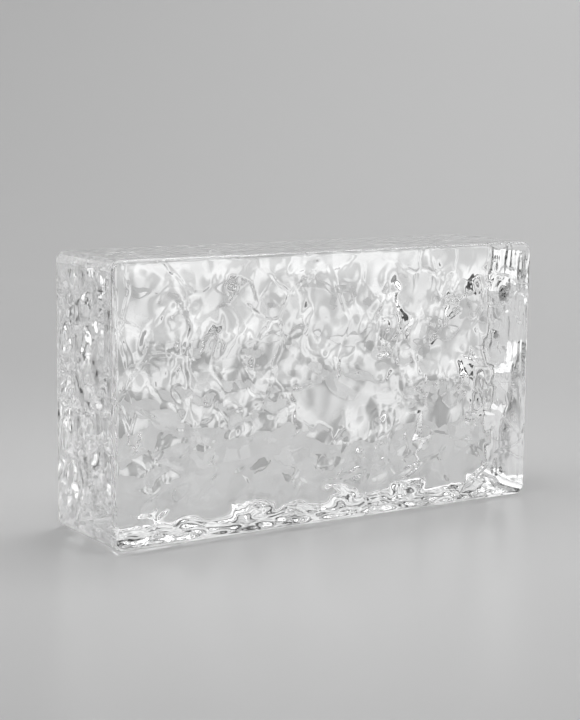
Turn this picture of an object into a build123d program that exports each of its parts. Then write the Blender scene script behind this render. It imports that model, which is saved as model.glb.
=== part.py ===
"""Solid cast glass block: one piece of clear glass, standing on its long narrow side.

The outline is a rectangle with rounded corners, and the rim of each large face
is rounded too. Inside the rim, the mould has pressed an ice pattern into the
front and the back: shallow round dishes that run into each other, with a ridge
wherever two of them meet. The top, the base and the two ends are plain bed faces
for the joints of a wall.

Millimetres. X runs along the length, Y through the thickness with the front at
-Y, and Z is up. The origin is at the centre of the base.
"""
import math
import os
import random

from build123d import *

# The block
LENGTH = 200.0
HEIGHT = 110.0
THICKNESS = 50.0
CORNER_RADIUS = 4.5
EDGE_RADIUS = 2.5

# The pressed panels of the two large faces, inside a level land next to the round rim
RIM_LAND = 0.5
PANEL_LENGTH = LENGTH - 2.0 * (EDGE_RADIUS + RIM_LAND)
PANEL_HEIGHT = HEIGHT - 2.0 * (EDGE_RADIUS + RIM_LAND)

# The dishes of the panels, which stray from a grid by up to half of this share of its pitch
DISH_RADIUS = 46.0
DISH_PITCH = 20.0
DISH_STRAY = 0.75
DISH_SHALLOWEST = 1.4
DISH_DEEPEST = 2.8
SMALLEST_DISH_REACH = 5.0

# The two patterned faces, and the way each of them looks along Y
SIDES = {"front": -1, "back": 1}


def dishes(side):
    """Place across, place up and depth of each dish of a side, from the face's centre.

    Each dish strays from its place on the grid by chance, which it draws by its own
    name, so that it stays where it is when the block grows. A dish near the border
    is only as deep as lets it end on the border.
    """
    columns = math.ceil(PANEL_LENGTH / 2.0 / DISH_PITCH)
    rows = math.ceil(PANEL_HEIGHT / 2.0 / DISH_PITCH)
    for row in range(-rows, rows + 1):
        for column in range(-columns, columns + 1):
            chance = random.Random(f"{side} {column} {row}")
            x = DISH_PITCH * (column + DISH_STRAY * (chance.random() - 0.5))
            z = DISH_PITCH * (row + DISH_STRAY * (chance.random() - 0.5))
            depth = chance.uniform(DISH_SHALLOWEST, DISH_DEEPEST)
            reach = min(PANEL_LENGTH / 2.0 - abs(x), PANEL_HEIGHT / 2.0 - abs(z))
            if reach > SMALLEST_DISH_REACH:
                yield x, z, min(depth, reach**2 / (2.0 * DISH_RADIUS))


def stamp(side, x, z, depth):
    """The round stamp that presses one dish into a side."""
    from_middle = THICKNESS / 2.0 + DISH_RADIUS - depth
    return Pos(x, SIDES[side] * from_middle, HEIGHT / 2.0 + z) * Sphere(DISH_RADIUS)


def glass_block():
    """The cast block: outline, round rim of each large face, and the pressed panels."""
    outline = Plane.XZ * Pos(0.0, HEIGHT / 2.0) * RectangleRounded(LENGTH, HEIGHT, CORNER_RADIUS)
    block = extrude(outline, THICKNESS / 2.0, both=True)
    block = fillet(block.faces().filter_by(Plane.XZ).edges(), EDGE_RADIUS)
    for side in SIDES:
        for x, z, depth in dishes(side):
            block -= stamp(side, x, z, depth)
    return block


os.makedirs("parts", exist_ok=True)
export_step(glass_block(), "parts/glass_block.step")
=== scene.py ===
"""Looks of the solid glass block: a rippled, fire-polished skin over the cast solid."""
import logging
import math
import random
from dataclasses import dataclass, field
from enum import Enum, IntEnum
from typing import Any

import bpy
import numpy as np
from mathutils import Matrix, Vector

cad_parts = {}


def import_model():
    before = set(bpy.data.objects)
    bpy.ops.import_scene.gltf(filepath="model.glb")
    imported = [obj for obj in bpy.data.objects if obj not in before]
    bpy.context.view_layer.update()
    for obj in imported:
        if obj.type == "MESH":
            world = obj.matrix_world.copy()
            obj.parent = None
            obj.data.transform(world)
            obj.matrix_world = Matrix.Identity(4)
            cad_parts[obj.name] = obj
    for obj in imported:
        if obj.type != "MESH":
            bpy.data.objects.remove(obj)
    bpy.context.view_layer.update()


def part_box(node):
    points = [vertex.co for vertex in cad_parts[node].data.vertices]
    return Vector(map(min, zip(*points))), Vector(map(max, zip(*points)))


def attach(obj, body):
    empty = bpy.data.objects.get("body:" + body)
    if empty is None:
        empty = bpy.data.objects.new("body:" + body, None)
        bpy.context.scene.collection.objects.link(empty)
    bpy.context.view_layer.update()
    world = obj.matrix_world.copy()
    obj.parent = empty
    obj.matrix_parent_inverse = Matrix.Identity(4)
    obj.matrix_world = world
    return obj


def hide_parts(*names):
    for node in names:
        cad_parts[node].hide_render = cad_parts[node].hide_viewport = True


log = logging.getLogger("glass_block")

MM = 0.001

# Ratios that spread numbers over a line or a plane without order or crowding
PLANE_RATIOS = (0.7548776662466927, 0.5698402909980532)
GOLDEN_TURN = math.pi * (3.0 - math.sqrt(5.0))

# Points of neighbouring sides that round to the same step are one point
WELD_STEP = 0.001 * MM

# Keeps a division by a length of nothing in bounds
TINY = 1e-9

# Light goes in and out of the relief many times before it leaves the glass
GLASS_BOUNCES = 24
MIRROR_BOUNCES = 12

WHITE = "#FFFFFF"

Array = np.ndarray


def linear(hex_colour: str) -> tuple[float, float, float, float]:
    """Turns an sRGB hex colour into linear RGBA.

    Args:
        hex_colour: six hex digits, with or without a leading mark.

    Returns:
        Red, green, blue and an alpha of 1.
    """
    digits = hex_colour.lstrip("#")
    channels = [int(digits[i : i + 2], 16) / 255.0 for i in (0, 2, 4)]
    levels = [c / 12.92 if c <= 0.04045 else ((c + 0.055) / 1.055) ** 2.4 for c in channels]
    return levels[0], levels[1], levels[2], 1.0


def add_node(tree: Any, kind: str, inputs: dict[Any, Any] | None = None, **settings: Any) -> Any:
    """Adds a node, sets its properties, and sets or links its inputs.

    Args:
        tree: the node tree.
        kind: the node's type name.
        inputs: socket name or number to a value, or to the output socket that feeds it.
        settings: properties of the node itself.

    Returns:
        The new node.
    """
    node = tree.nodes.new(kind)
    for name, value in settings.items():
        setattr(node, name, value)
    for name, value in (inputs or {}).items():
        socket = node.inputs[name]
        if isinstance(value, bpy.types.NodeSocket):
            tree.links.new(value, socket)
        else:
            socket.default_value = value
    return node


def smooth_step(value: Array) -> Array:
    """0 below 0, 1 above 1, and a quintic rise with level ends between them."""
    share = np.clip(value, 0.0, 1.0)
    return share**3 * (share * (6.0 * share - 15.0) + 10.0)


class Side(Enum):
    """The two rippled faces."""

    FRONT = -1
    BACK = 1


def scatter(numbers: Array, ratio: float) -> Array:
    """Spreads whole numbers evenly over 0 to 1: the fraction of number times ratio."""
    return np.mod(numbers * ratio, 1.0)


@dataclass(frozen=True)
class Undulation:
    """An irregular wavy field: many plane waves with pitches near one value, in all directions."""

    pitch: float
    seed: int
    count: int = 20
    spread: float = 1.6

    def at(self, points: Array) -> Array:
        """Height of the field, with a root mean square of 1.

        The waves' directions are spread evenly over the circle or the sphere, by
        the golden angle.

        Args:
            points: rows of two or three coordinates.

        Returns:
            The scaled sum of the waves' sines.
        """
        number = np.arange(self.count) + self.seed
        angle = number * GOLDEN_TURN
        in_space = points.shape[1] == 3
        level = (np.arange(self.count) + 0.5) / self.count if in_space else np.zeros(self.count)
        flat = np.sqrt(1.0 - level**2)
        toward = np.stack([flat * np.cos(angle), flat * np.sin(angle), level])[: points.shape[1]]
        pitch = self.pitch * self.spread ** (2.0 * scatter(number, PLANE_RATIOS[0]) - 1.0)
        phase = math.tau * scatter(number, PLANE_RATIOS[1])
        return np.sin(math.tau * (points @ toward) / pitch + phase).sum(-1) * math.sqrt(2.0 / self.count)


@dataclass(frozen=True)
class Dishes:
    """Shallow bowls pressed side by side, with a ridge wherever two of them meet. Lengths are in metres."""

    name: str
    pitch: float
    bowl_radius: float
    shallowest: float
    deepest: float
    softness: float
    stray: float = 0.75
    bend: float = 0.08
    bend_pitches: float = 3.0
    smallest_reach: float | None = None

    def centres(self, half_panel: Array) -> tuple[Array, Array]:
        """Where the bowls are deepest, and how deep they are there.

        The centres stand on a grid that runs past the panel. Each strays from its
        place by chance, which it draws by its own name. Where a smallest reach is
        given, bowls nearer than that to the border are left out, and the others
        are only as deep as lets them end on the border: reach squared over 2R.

        Args:
            half_panel: half of the pressed panel's length and height.

        Returns:
            Rows of place across and place up from the panel's middle, and depths.
        """
        columns, rows = (math.ceil(size / self.pitch) for size in half_panel)
        grid = [(column, row) for row in range(-rows, rows + 1) for column in range(-columns, columns + 1)]
        chances = [random.Random(f"{self.name} {column} {row}") for column, row in grid]
        draws = np.array([[chance.random() for _ in range(3)] for chance in chances])
        places = self.pitch * (np.array(grid) + self.stray * (draws[:, :2] - 0.5))
        depths = self.shallowest + (self.deepest - self.shallowest) * draws[:, 2]
        if self.smallest_reach is None:
            return places, depths
        reach = (half_panel - np.abs(places)).min(1)
        kept = reach > self.smallest_reach
        return places[kept], np.minimum(depths, reach**2 / (2.0 * self.bowl_radius))[kept]

    def press(self, places: Array, half_panel: Array) -> tuple[Array, Array]:
        """Depth of the bowls, and the way to the nearest ridge.

        The depth is the soft maximum over all centres of (own depth - d^2 / 2R),
        where d is the distance from the centre over bent ground and R the bowl
        radius. The ground is bent by a sine of the place up, across, and by a sine
        of the place across, upwards. The way to the ridge is the lead of the
        deepest bowl over the next, divided by the slope between two neighbours.

        Args:
            places: rows of place across and place up, centred.
            half_panel: half of the pressed panel's length and height.

        Returns:
            Depths and ways, in metres.
        """
        centres, own = self.centres(half_panel)
        turn = math.tau / (self.bend_pitches * self.pitch)
        ground = places + self.bend * self.pitch * np.sin(turn * places[:, ::-1])
        away = ((ground[:, None, :] - centres) ** 2).sum(-1)
        bowls = own - away / (2.0 * self.bowl_radius)
        best = np.partition(bowls, -2, axis=1)[:, -2:]
        lead = best[:, 1] - best[:, 0]
        share = np.exp((bowls - best[:, 1:]) / self.softness).sum(1)
        return best[:, 1] + self.softness * np.log(share), lead * self.bowl_radius / self.pitch


@dataclass(frozen=True)
class Patches:
    """Where one part of a pattern shows: soft-edged patches, more of them with a higher bias."""

    pitch: float
    seed: int
    bias: float = 0.0
    hardness: float = 0.8

    def at(self, places: Array) -> Array:
        """Share of the pattern that shows, 0 to 1: a smooth step of an undulation."""
        return smooth_step(0.5 + self.bias + self.hardness * Undulation(self.pitch, self.seed).at(places))


class SeedStep(IntEnum):
    """What each part of the relief adds to its face's seed, so that no two parts share their waves."""

    DIMPLE_PATCH = 20
    BEAD = 30
    CREASE_PATCH = 31
    WRINKLE_PATCH = 40
    WRINKLE = 41


@dataclass(frozen=True)
class IceRelief:
    """The pressed ice pattern of one face. Lengths are in metres.

    Broad dishes, small dimples in patches, narrow beaded creases along some of
    the ridges, and patches of fine wrinkles.
    """

    name: str
    seed: int
    dish_pitch: float = 20.0 * MM
    dish_radius: float = 30.0 * MM
    dish_shallowest: float = 1.4 * MM
    dish_deepest: float = 2.8 * MM
    smallest_reach: float = 5.0 * MM
    ridge_softness: float = 0.18 * MM
    dimple_pitch: float = 11.0 * MM
    dimple_radius: float = 24.0 * MM
    dimple_spread: float = 0.4 * MM
    dimple_softness: float = 0.2 * MM
    dimple_patch: float = 40.0 * MM
    dimple_bias: float = 0.1
    crease_depth: float = 0.45 * MM
    crease_width: float = 2.2 * MM
    crease_patch: float = 45.0 * MM
    bead_pitch: float = 7.0 * MM
    bead_share: float = 0.25
    wrinkle: float = 0.03 * MM
    wrinkle_pitch: float = 5.0 * MM
    wrinkle_patch: float = 35.0 * MM

    def depth(self, places: Array, half_panel: Array) -> Array:
        """Depth of the relief under the face plane.

        Args:
            places: rows of place across and place up.
            half_panel: half of the pressed panel's length and height.

        Returns:
            The sum of the dishes, the patches of dimples, the creases and the
            wrinkles, in metres.
        """
        broad = Dishes(
            self.name,
            self.dish_pitch,
            self.dish_radius,
            self.dish_shallowest,
            self.dish_deepest,
            self.ridge_softness,
            smallest_reach=self.smallest_reach,
        )
        small = Dishes(
            f"{self.name} dimple",
            self.dimple_pitch,
            self.dimple_radius,
            0.0,
            self.dimple_spread,
            self.dimple_softness,
        )
        dishes, to_ridge = broad.press(places, half_panel)
        dimples, _ = small.press(places, half_panel)
        dimpled = Patches(self.dimple_patch, self.seed + SeedStep.DIMPLE_PATCH, self.dimple_bias)
        dimples = dimpled.at(places) * (dimples - dimples.mean())
        beads = 1.0 + self.bead_share * Undulation(self.bead_pitch, self.seed + SeedStep.BEAD).at(places)
        line = np.exp(-((to_ridge / self.crease_width) ** 2))
        creased = Patches(self.crease_patch, self.seed + SeedStep.CREASE_PATCH)
        creases = self.crease_depth * creased.at(places) * beads * line
        wrinkled = Patches(self.wrinkle_patch, self.seed + SeedStep.WRINKLE_PATCH)
        wrinkles = self.wrinkle * Undulation(self.wrinkle_pitch, self.seed + SeedStep.WRINKLE).at(places)
        wrinkles = wrinkled.at(places) * wrinkles
        return dishes + dimples + creases + wrinkles


@dataclass
class GlassBlock:
    """The cast block: a round-edged box whose large faces carry the ice relief."""

    low: Vector
    high: Vector
    corner_radius: float = 4.5 * MM
    rim_radius: float = 2.5 * MM
    rim_land: float = 0.5 * MM
    land_softness: float = 0.5 * MM
    skin_wave: float = 0.07 * MM
    end_waves: tuple[float, float] = (0.012 * MM, 0.06 * MM)
    end_pitch: float = 5.0 * MM
    end_stretch: float = 5.0
    edge_calm: float = 0.3
    edge_reach: float = 6.0 * MM
    skin_pitch: float = 11.0 * MM
    skin_seed: int = 5
    skin_waves: int = 40
    cells: tuple[int, int, int] = (242, 46, 132)
    round_cells: int = 5
    bed_reach: float = 12.0 * MM
    bed: Dishes = Dishes(
        "bed",
        pitch=10.0 * MM,
        bowl_radius=22.0 * MM,
        shallowest=0.0,
        deepest=0.3 * MM,
        softness=0.05 * MM,
    )
    relief: dict[Side, IceRelief] = field(
        default_factory=lambda: {
            Side.FRONT: IceRelief("front", seed=70),
            Side.BACK: IceRelief("back", seed=230),
        }
    )

    def half(self) -> Array:
        """Half of the block's length, thickness and height."""
        return np.array(self.high - self.low) / 2.0

    def centre(self) -> Array:
        """Middle of the block."""
        return np.array(self.high + self.low) / 2.0

    def stations(self, axis: int) -> Array:
        """Places along one axis of the sharp box.

        Inside the flat part the places are even. Past it, they are tangents of even
        angles up to 45 degrees, so that the round edge is cut evenly.

        Args:
            axis: 0, 1 or 2.

        Returns:
            Signed places in metres.
        """
        flat = self.half()[axis] - self.rim_radius
        inner = np.linspace(-flat, flat, self.cells[axis] - 2 * self.round_cells + 1)
        angles = np.linspace(0.0, math.pi / 4.0, self.round_cells + 1)[1:]
        outer = flat + self.rim_radius * np.tan(angles)
        return np.concatenate([-outer[::-1], inner, outer])

    def round_off(self, box_points: Array) -> tuple[Array, Array]:
        """Moves points of the sharp box onto the block with round corners and edges.

        Each corner square of the outline is drawn onto a quarter disc. Then a
        point goes to the nearest point of the inner slab, which is smaller by the
        rim radius all round, plus the rim radius along the way out.

        Args:
            box_points: points on the sharp box, centred.

        Returns:
            Points on the round block, centred, and the unit ways out of it.
        """
        half = self.half()
        sign = np.sign(box_points)
        flat = np.abs(box_points[:, [0, 2]]) - (half[[0, 2]] - self.corner_radius)
        share = np.clip(flat / self.corner_radius, 0.0, 1.0)
        disc = self.corner_radius * share * np.sqrt(1.0 - share[:, ::-1] ** 2 / 2.0)
        flat = np.where(flat > 0.0, disc, flat)
        beyond = np.maximum(flat, 0.0)
        length = np.linalg.norm(beyond, axis=1, keepdims=True)
        toward = beyond / np.maximum(length, TINY)
        past_rim = np.maximum(length - self.corner_radius + self.rim_radius, 0.0)
        past_face = np.maximum(np.abs(box_points[:, 1:2]) - (half[1] - self.rim_radius), 0.0)
        out = np.concatenate([toward * past_rim, past_face], 1)
        out /= np.linalg.norm(out, axis=1, keepdims=True)
        outline = flat - toward * past_rim + self.rim_radius * out[:, :2]
        outline = outline + half[[0, 2]] - self.corner_radius
        across = np.abs(box_points[:, 1]) - past_face[:, 0] + self.rim_radius * out[:, 2]
        points = np.stack([outline[:, 0], across, outline[:, 1]], 1)
        return sign * points, sign * out[:, [0, 2, 1]]

    def patch(self, axis: int, sign: int) -> tuple[Array, Array]:
        """One of the six sides as a grid of points and its quads.

        Args:
            axis: the axis that the side faces along.
            sign: which way it faces.

        Returns:
            Points, and quads as rows of four point numbers, facing outwards.
        """
        first, second = [a for a in range(3) if a != axis]
        grid_a, grid_b = np.meshgrid(self.stations(first), self.stations(second), indexing="ij")
        points = np.zeros((*grid_a.shape, 3))
        points[..., first] = grid_a
        points[..., second] = grid_b
        points[..., axis] = sign * self.half()[axis]
        count_b = grid_a.shape[1]
        corner = (np.arange(grid_a.shape[0] - 1)[:, None] * count_b + np.arange(count_b - 1)).ravel()
        quads = np.stack([corner, corner + count_b, corner + count_b + 1, corner + 1], 1)
        turn = sign * (1 if axis != 1 else -1)
        return points.reshape(-1, 3), quads if turn > 0 else quads[:, ::-1]

    def surface(self) -> tuple[Array, Array]:
        """All six sides joined into one closed skin.

        Returns:
            Points in the row frame, and quads.
        """
        points, quads, start = [], [], 0
        for axis in range(3):
            for sign in (-1, 1):
                side_points, side_quads = self.patch(axis, sign)
                points.append(side_points)
                quads.append(side_quads + start)
                start += len(side_points)
        box_points, all_quads = np.concatenate(points), np.concatenate(quads)
        keys = np.round(box_points / WELD_STEP).astype(np.int64)
        _, first, number = np.unique(keys, axis=0, return_index=True, return_inverse=True)
        skin = self.press(*self.round_off(box_points[first]))
        return skin + self.centre(), number.ravel()[all_quads]

    def press(self, skin: Array, out: Array) -> Array:
        """Presses the relief into the skin.

        Every point moves inwards by the shallow waves of the skin, which are
        upright streaks on the two ends and are calmer near an edge. The base also
        gets its dimples. Points of the two large faces move by the relief's depth
        as well, as the soft maximum of that depth and nothing.

        Args:
            skin: points on the round block, centred.
            out: unit ways out of the block at those points.

        Returns:
            The moved points.
        """
        half = self.half()
        waves = Undulation(self.skin_pitch, self.skin_seed, self.skin_waves).at(skin)
        upright = skin / [1.0, 1.0, self.end_stretch]
        streaks = Undulation(self.end_pitch, self.skin_seed, self.skin_waves).at(upright)
        from_edge = np.sort(half - np.abs(skin), axis=1)[:, 1]
        calm = smooth_step(from_edge / self.edge_reach)
        end = out[:, 0] ** 2
        inward = (1.0 - end) * self.skin_wave * (waves.max() - waves)
        end_wave = np.where(out[:, 0] < 0.0, *self.end_waves)
        inward += end * end_wave * (streaks.max() - streaks)
        bed, _ = self.bed.press(skin[:, :2], half[:2])
        under = np.maximum(-out[:, 2], 0.0) ** 2
        bed_depth = under * smooth_step(from_edge / self.bed_reach) * (bed - bed.min())
        inward = (self.edge_calm + (1.0 - self.edge_calm) * calm) * inward + bed_depth
        moved = skin - out * inward[:, None]
        half_panel = half[[0, 2]] - self.rim_radius - self.rim_land
        for side, relief in self.relief.items():
            facing = np.maximum(side.value * out[:, 1], 0.0) ** 2
            face = facing > 0.0
            depth = relief.depth(skin[face][:, [0, 2]], half_panel)
            depth = facing[face] * 0.5 * (depth + np.sqrt(depth**2 + self.land_softness**2))
            log.info("%s relief: %.2f to %.2f mm", side.name, depth.min() / MM, depth.max() / MM)
            moved[face, 1] -= side.value * depth
        return moved

    def build(self) -> bpy.types.Object:
        """Makes the block's mesh object.

        Returns:
            The object, smooth shaded, at the origin.
        """
        points, quads = self.surface()
        mesh = bpy.data.meshes.new("cast_glass_block")
        mesh.from_pydata(points.tolist(), [], quads.tolist())
        mesh.validate()
        mesh.shade_smooth()
        block = bpy.data.objects.new("cast_glass_block", mesh)
        bpy.context.scene.collection.objects.link(block)
        return block


@dataclass(frozen=True)
class ClearCastGlass:
    """Soda-lime glass, cast and fire-polished: clear and neutral, with a mirror-smooth skin.

    Faint cords of denser glass run through its body. The ends carry the mould's
    fine upright draw marks, and the faces its thin beaded veins, in patches.
    Lengths are in metres.
    """

    clear: str = "#FEFEFE"
    cord: str = "#FAFBFB"
    ior: float = 1.52
    roughness: float = 0.0
    cord_pitch: float = 14.0 * MM
    cord_stretch: float = 4.0
    cord_waviness: float = 1.5
    mark_pitch: float = 1.6 * MM
    mark_stretch: float = 12.0
    mark_height: float = 0.05 * MM
    vein_pitch: float = 24.0 * MM
    vein_width: float = 1.4 * MM
    vein_height: float = 0.5 * MM
    vein_bead_pitch: float = 7.0 * MM
    vein_wander: float = 8.0 * MM
    vein_wander_pitch: float = 18.0 * MM
    vein_patch: float = 45.0 * MM
    vein_patch_edge: tuple[float, float] = (0.45, 0.6)

    def make(self) -> bpy.types.Material:
        """Builds the glass material."""
        material = bpy.data.materials.new("clear_cast_glass")
        material.use_nodes = True
        tree = material.node_tree
        tree.nodes.clear()
        place = add_node(tree, "ShaderNodeTexCoord")
        # The cords give clear areas a slight, wandering change of depth, as in real cast glass
        along = add_node(
            tree,
            "ShaderNodeVectorMath",
            {0: place.outputs["Object"], 1: (1.0 / self.cord_stretch, 1.0, 1.0)},
            operation="MULTIPLY",
        )
        cords = add_node(
            tree,
            "ShaderNodeTexNoise",
            {"Vector": along.outputs[0], "Scale": 1.0 / self.cord_pitch, "Distortion": self.cord_waviness},
        )
        tint = add_node(
            tree,
            "ShaderNodeMix",
            {"Factor": cords.outputs[0], "A": linear(self.clear), "B": linear(self.cord)},
            data_type="RGBA",
        )
        # The draw marks break up what is seen through the ends into fine upright streaks
        upright = add_node(
            tree,
            "ShaderNodeVectorMath",
            {0: place.outputs["Object"], 1: (1.0, 1.0, 1.0 / self.mark_stretch)},
            operation="MULTIPLY",
        )
        marks = add_node(
            tree,
            "ShaderNodeTexNoise",
            {"Vector": upright.outputs[0], "Scale": 1.0 / self.mark_pitch},
        )
        facing = add_node(tree, "ShaderNodeSeparateXYZ", {0: place.outputs["Normal"]})
        on_ends = add_node(tree, "ShaderNodeMath", {0: facing.outputs["X"]}, operation="ABSOLUTE")
        streaked = add_node(
            tree,
            "ShaderNodeBump",
            {"Strength": on_ends.outputs[0], "Distance": self.mark_height, "Height": marks.outputs[0]},
        )
        # The veins give the pressed faces fine beaded lines that run along and between the facets
        wander = add_node(
            tree,
            "ShaderNodeTexNoise",
            {"Vector": place.outputs["Object"], "Scale": 1.0 / self.vein_wander_pitch},
        )
        bent = add_node(
            tree,
            "ShaderNodeVectorMath",
            {0: wander.outputs["Color"], 1: (self.vein_wander,) * 3, 2: place.outputs["Object"]},
            operation="MULTIPLY_ADD",
        )
        cells = add_node(
            tree,
            "ShaderNodeTexVoronoi",
            {"Vector": bent.outputs[0], "Scale": 1.0 / self.vein_pitch},
            feature="DISTANCE_TO_EDGE",
        )
        fall = {"From Max": self.vein_width / self.vein_pitch, "To Min": 1.0, "To Max": 0.0}
        veins = add_node(
            tree,
            "ShaderNodeMapRange",
            {"Value": cells.outputs["Distance"], **fall},
            interpolation_type="SMOOTHSTEP",
        )
        beads = add_node(
            tree,
            "ShaderNodeTexNoise",
            {"Vector": place.outputs["Object"], "Scale": 1.0 / self.vein_bead_pitch},
        )
        beaded = add_node(
            tree,
            "ShaderNodeMath",
            {0: veins.outputs["Result"], 1: beads.outputs[0]},
            operation="MULTIPLY",
        )
        patch = add_node(
            tree,
            "ShaderNodeTexNoise",
            {"Vector": place.outputs["Object"], "Scale": 1.0 / self.vein_patch},
        )
        low, high = self.vein_patch_edge
        shown = add_node(
            tree,
            "ShaderNodeMapRange",
            {"Value": patch.outputs[0], "From Min": low, "From Max": high},
        )
        on_faces = add_node(tree, "ShaderNodeMath", {0: facing.outputs["Y"]}, operation="ABSOLUTE")
        strength = add_node(
            tree,
            "ShaderNodeMath",
            {0: on_faces.outputs[0], 1: shown.outputs["Result"]},
            operation="MULTIPLY",
        )
        skin = add_node(
            tree,
            "ShaderNodeBump",
            {
                "Strength": strength.outputs[0],
                "Distance": self.vein_height,
                "Height": beaded.outputs[0],
                "Normal": streaked.outputs[0],
            },
        )
        shader = add_node(
            tree,
            "ShaderNodeBsdfPrincipled",
            {
                "Base Color": next(s for s in tint.outputs if s.type == "RGBA"),
                "IOR": self.ior,
                "Roughness": self.roughness,
                "Transmission Weight": 1.0,
                "Normal": skin.outputs[0],
            },
        )
        add_node(tree, "ShaderNodeOutputMaterial", {"Surface": shader.outputs["BSDF"]})
        return material


@dataclass(frozen=True)
class PhotoCamera:
    """The camera at the photograph's viewing angle, fitted to the block's outline."""

    place: tuple[float, float, float] = (-0.3893, -0.5897, 0.1681)
    yaw_deg: float = -32.99
    pitch_deg: float = 8.48
    roll_deg: float = 0.55
    focal_px: float = 1740.9
    frame_height_px: float = 720.0
    sensor_mm: float = 36.0
    nearest: float = 0.01
    farthest: float = 50.0

    def make(self) -> bpy.types.Object:
        """Places the camera and makes it the scene's own."""
        yaw, pitch, roll = (math.radians(a) for a in (self.yaw_deg, self.pitch_deg, self.roll_deg))
        level = math.cos(pitch)
        ahead = Vector((-math.sin(yaw) * level, math.cos(yaw) * level, -math.sin(pitch)))
        right = Vector((math.cos(yaw), math.sin(yaw), 0.0))
        up = right.cross(ahead)
        right_rolled = right * math.cos(roll) + up * math.sin(roll)
        up_rolled = up * math.cos(roll) - right * math.sin(roll)
        data = bpy.data.cameras.new("photo_camera")
        data.sensor_width = self.sensor_mm
        data.lens = self.focal_px / self.frame_height_px * self.sensor_mm
        data.clip_start = self.nearest
        data.clip_end = self.farthest
        camera = bpy.data.objects.new("photo_camera", data)
        turn = Matrix((right_rolled, up_rolled, -ahead)).transposed().to_4x4()
        camera.matrix_world = Matrix.Translation(self.place) @ turn
        bpy.context.scene.collection.objects.link(camera)
        bpy.context.scene.camera = camera
        return camera


@dataclass(frozen=True)
class SoftPanel:
    """A soft rectangular light. Places run along the view, across it to the right, and up, in metres."""

    name: str
    place: tuple[float, float, float]
    aim: tuple[float, float, float]
    size: tuple[float, float]
    level: float


@dataclass(frozen=True)
class GlowCard:
    """An upright card across the view that only the glass sees, as it would see a studio's screens.

    Its light rises from the first level at its foot to the second at its head, and
    swings from side to side by a share of itself, in broad bands with soft edges.
    Lengths are in metres.
    """

    name: str
    foot: tuple[float, float, float]
    size: tuple[float, float]
    levels: tuple[float, float]
    swing: float = 0.0
    swing_pitch: float = 0.12
    swing_softness: float = 0.7


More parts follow.
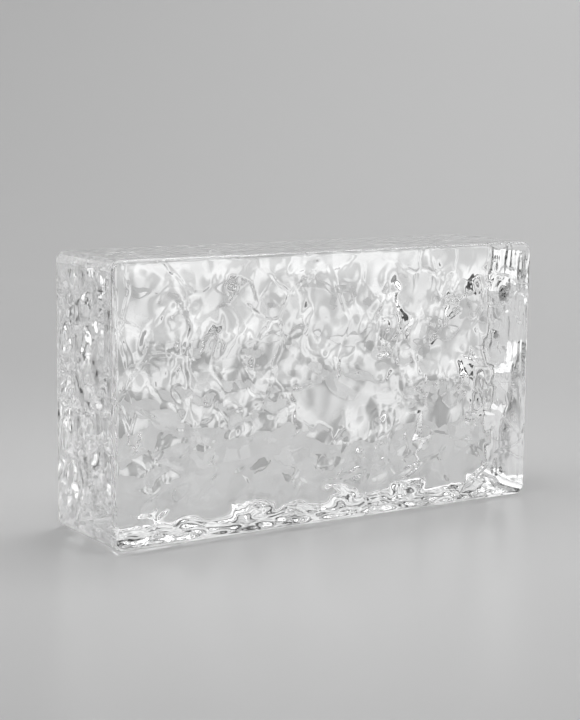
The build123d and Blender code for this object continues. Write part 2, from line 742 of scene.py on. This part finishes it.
@dataclass(frozen=True)
class Studio:
    """Pale sweep, soft panels, cards, and a world that is bright above. Lengths are in metres."""

    floor_colour: str = "#CACACA"
    floor_roughness: float = 0.28
    floor_drop: float = 0.05 * MM
    half_width: float = 3.0
    floor_front: float = 8.0
    floor_back: float = 0.9
    bend_radius: float = 0.8
    bend_steps: int = 32
    wall_height: float = 0.8
    yaw_deg: float = 33.0
    low_sky: float = 0.03
    high_sky: float = 0.56
    sky_rise: tuple[float, float] = (0.15, 0.6)
    panels: tuple[SoftPanel, ...] = (
        SoftPanel("top_panel", place=(0.0, -0.05, 0.28), aim=(0.0, -0.05, 0.0), size=(0.24, 0.24), level=2.1),
        SoftPanel("backdrop_panel", place=(0.75, 0.6, 1.6), aim=(1.8, 0.5, 0.4), size=(1.4, 0.5), level=5.8),
        SoftPanel("left_panel", place=(0.6, -1.2, 0.45), aim=(0.0, 0.0, 0.05), size=(0.9, 0.9), level=0.95),
        SoftPanel("right_panel", place=(-0.35, 1.15, 0.45), aim=(0.0, 0.0, 0.05), size=(0.8, 0.8), level=1.6),
    )
    cards: tuple[GlowCard, ...] = (
        GlowCard("back_card", foot=(0.42, -0.02, 0.0), size=(0.4, 0.2), levels=(0.65, 0.95), swing=0.17),
        GlowCard(
            "low_card",
            foot=(0.2, -0.01, 0.0),
            size=(0.4, 0.035),
            levels=(0.5, 0.66),
            swing=0.3,
            swing_pitch=0.09,
        ),
        GlowCard(
            "right_card",
            foot=(-0.08, 0.45, 0.0),
            size=(0.5, 0.14),
            levels=(0.9, 1.1),
            swing=0.25,
            swing_pitch=0.08,
        ),
        GlowCard("left_flag", foot=(0.42, -0.3, 0.0), size=(0.06, 0.4), levels=(0.15, 0.15)),
        GlowCard("right_flag", foot=(0.42, 0.22, 0.0), size=(0.08, 0.4), levels=(0.04, 0.04)),
        GlowCard("top_flag", foot=(0.42, 0.0, 0.32), size=(0.9, 0.12), levels=(0.04, 0.04)),
    )

    def ahead(self, forward: float, sideways: float, up: float) -> tuple[float, float, float]:
        """A place given along the view, across it to the right, and up."""
        yaw = math.radians(self.yaw_deg)
        return (
            forward * math.sin(yaw) + sideways * math.cos(yaw),
            forward * math.cos(yaw) - sideways * math.sin(yaw),
            up,
        )

    def add_mesh(
        self, name: str, points: list, quads: list, material: bpy.types.Material
    ) -> bpy.types.Object:
        """Adds a smooth mesh of the stage.

        Args:
            name: name of the mesh and its object.
            points: places in metres.
            quads: rows of four point numbers.
            material: what it is made of.

        Returns:
            The new object.
        """
        mesh = bpy.data.meshes.new(name)
        mesh.from_pydata(points, [], quads)
        mesh.shade_smooth()
        mesh.materials.append(material)
        piece = bpy.data.objects.new(name, mesh)
        bpy.context.scene.collection.objects.link(piece)
        return piece

    def paper(self) -> bpy.types.Material:
        """Pale satin paper: gives the floor a soft shadow and a faint mirror image."""
        material = bpy.data.materials.new("studio_paper")
        material.use_nodes = True
        shader = material.node_tree.nodes["Principled BSDF"]
        shader.inputs["Base Color"].default_value = linear(self.floor_colour)
        shader.inputs["Roughness"].default_value = self.floor_roughness
        return material

    def lay_sweep(self) -> None:
        """Lays a floor that curves up into a backdrop behind the block."""
        angles = np.linspace(0.0, math.pi / 2.0, self.bend_steps + 1)
        along = np.concatenate([[-self.floor_front], self.floor_back + self.bend_radius * np.sin(angles)])
        along = np.append(along, along[-1])
        bend = self.bend_radius * (1.0 - np.cos(angles))
        up = np.concatenate([[0.0], bend, [self.bend_radius + self.wall_height]])
        count = len(along)
        points = [
            self.ahead(forward, side, height - self.floor_drop)
            for side in (-self.half_width, self.half_width)
            for forward, height in zip(along, up)
        ]
        quads = [(i, count + i, count + i + 1, i + 1) for i in range(count - 1)]
        self.add_mesh("studio_sweep", points, quads, self.paper())

    def glow(self, card: GlowCard) -> bpy.types.Material:
        """Light of a card: first level to second level, times 1 - swing to 1 + swing.

        The swing follows a sine of the place across, cut off at plus and minus the
        softness, so that a lower softness gives harder edges to the bands.

        Args:
            card: the card.

        Returns:
            A material that only gives off light.
        """
        _, _, low = card.foot
        material = bpy.data.materials.new(card.name)
        material.use_nodes = True
        tree = material.node_tree
        tree.nodes.clear()
        place = add_node(tree, "ShaderNodeTexCoord")
        height = add_node(tree, "ShaderNodeSeparateXYZ", {0: place.outputs["Object"]})
        span = {"From Min": low, "From Max": low + card.size[1]}
        rise = {**span, "To Min": card.levels[0], "To Max": card.levels[1]}
        level = add_node(tree, "ShaderNodeMapRange", {"Value": height.outputs["Z"], **rise})
        across = add_node(
            tree,
            "ShaderNodeVectorMath",
            {0: place.outputs["Object"], 1: Vector(self.ahead(0.0, math.tau / card.swing_pitch, 0.0))},
            operation="DOT_PRODUCT",
        )
        wave = add_node(tree, "ShaderNodeMath", {0: across.outputs["Value"]}, operation="SINE")
        cut = {"From Min": -card.swing_softness, "From Max": card.swing_softness}
        bands = {**cut, "To Min": 1.0 - card.swing, "To Max": 1.0 + card.swing}
        share = add_node(tree, "ShaderNodeMapRange", {"Value": wave.outputs[0], **bands})
        light = add_node(
            tree,
            "ShaderNodeMath",
            {0: level.outputs["Result"], 1: share.outputs["Result"]},
            operation="MULTIPLY",
        )
        glow = add_node(tree, "ShaderNodeEmission", {"Color": linear(WHITE), "Strength": light.outputs[0]})
        add_node(tree, "ShaderNodeOutputMaterial", {"Surface": glow.outputs[0]})
        return material

    def hang_card(self, card: GlowCard) -> None:
        """Hangs a card upright across the view, hidden from all but rays that went through glass."""
        forward, sideways, low = card.foot
        half, height = card.size[0] / 2.0, card.size[1]
        corners = [(-half, 0.0), (half, 0.0), (half, height), (-half, height)]
        points = [self.ahead(forward, sideways + across, low + up) for across, up in corners]
        piece = self.add_mesh(card.name, points, [(0, 1, 2, 3)], self.glow(card))
        piece.visible_camera = piece.visible_diffuse = piece.visible_glossy = piece.visible_shadow = False

    def hang_panel(self, panel: SoftPanel) -> None:
        """Hangs a light: its power is its level times its area times pi."""
        data = bpy.data.lights.new(panel.name, "AREA")
        data.shape = "RECTANGLE"
        data.size, data.size_y = panel.size
        data.energy = panel.level * panel.size[0] * panel.size[1] * math.pi
        lamp = bpy.data.objects.new(panel.name, data)
        place, aim = Vector(self.ahead(*panel.place)), Vector(self.ahead(*panel.aim))
        lamp.location = place
        lamp.rotation_euler = (aim - place).to_track_quat("-Z", "Y").to_euler()
        lamp.visible_camera = False
        bpy.context.scene.collection.objects.link(lamp)

    def light_world(self) -> None:
        """A world that goes from its low to its high level between two heights."""
        world = bpy.data.worlds.new("studio_world")
        bpy.context.scene.world = world
        world.use_nodes = True
        tree = world.node_tree
        tree.nodes.clear()
        place = add_node(tree, "ShaderNodeTexCoord")
        height = add_node(tree, "ShaderNodeSeparateXYZ", {0: place.outputs["Generated"]})
        low, high = self.sky_rise
        rise = {"From Min": low, "From Max": high, "To Min": self.low_sky, "To Max": self.high_sky}
        level = add_node(
            tree,
            "ShaderNodeMapRange",
            {"Value": height.outputs["Z"], **rise},
            interpolation_type="SMOOTHSTEP",
        )
        sky = add_node(
            tree,
            "ShaderNodeBackground",
            {"Color": linear(WHITE), "Strength": level.outputs["Result"]},
        )
        add_node(tree, "ShaderNodeOutputWorld", {"Surface": sky.outputs[0]})

    def make(self) -> None:
        """Lays the sweep, lights the world, and hangs the panels and cards."""
        self.lay_sweep()
        self.light_world()
        for panel in self.panels:
            self.hang_panel(panel)
        for card in self.cards:
            self.hang_card(card)
        log.info("studio: %d panels, %d cards", len(self.panels), len(self.cards))


def main() -> None:
    """Builds the block, the camera and the studio in order."""
    logging.basicConfig(level=logging.INFO)
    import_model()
    low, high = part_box("glass_block")
    PhotoCamera().make()
    block = GlassBlock(low, high).build()
    block.data.materials.append(ClearCastGlass().make())
    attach(block, "root")
    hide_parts("glass_block")
    log.info("block: %d points, %d faces", len(block.data.vertices), len(block.data.polygons))
    Studio().make()
    scene = bpy.context.scene
    scene.view_settings.view_transform = "Standard"
    scene.cycles.max_bounces = GLASS_BOUNCES
    scene.cycles.transmission_bounces = GLASS_BOUNCES
    scene.cycles.glossy_bounces = MIRROR_BOUNCES


if __name__ == "__main__":
    main()
